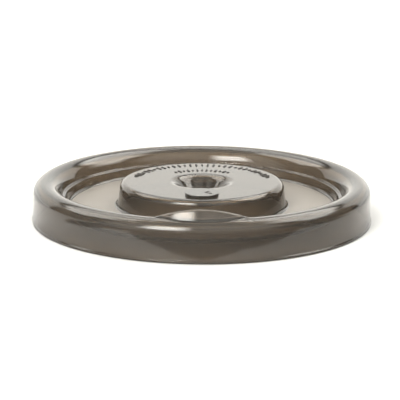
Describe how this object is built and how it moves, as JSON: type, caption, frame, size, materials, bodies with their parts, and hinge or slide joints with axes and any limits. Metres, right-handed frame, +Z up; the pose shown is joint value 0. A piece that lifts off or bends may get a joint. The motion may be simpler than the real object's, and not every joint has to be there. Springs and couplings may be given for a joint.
{
  "type": "fermenting bucket lid",
  "caption": "Round smoke-tinted clear plastic lid with a rounded hollow rim, sunken floor, raised centre boss with airlock funnel, vent plug and front lift tab",
  "frame": {"origin": "on the lid's axis, at the foot of the skirt", "axes": "+Z up along the lid's axis, front of the lid with the lift tab towards -Y, +X to the right seen from the front"},
  "size_m": [0.25, 0.25, 0.0357],
  "materials": {
    "smoke_plastic": "clear smoke grey-brown plastic, polished",
    "silicone": "dark grey silicone, satin",
    "grommet_rubber": "black food-grade rubber, matt"
  },
  "bodies": {
    "lid": {"lid_shell": "smoke_plastic", "rim_gasket": "silicone", "airlock_grommet": "grommet_rubber"},
    "plug": {"vent_plug": "smoke_plastic", "plug_seal": "silicone"}
  },
  "joints": [
    {"name": "plug_lift", "type": "slide", "parent": "lid", "child": "plug", "axis": [0, 0, 1], "range_m": [0, 0.012]}
  ]
}
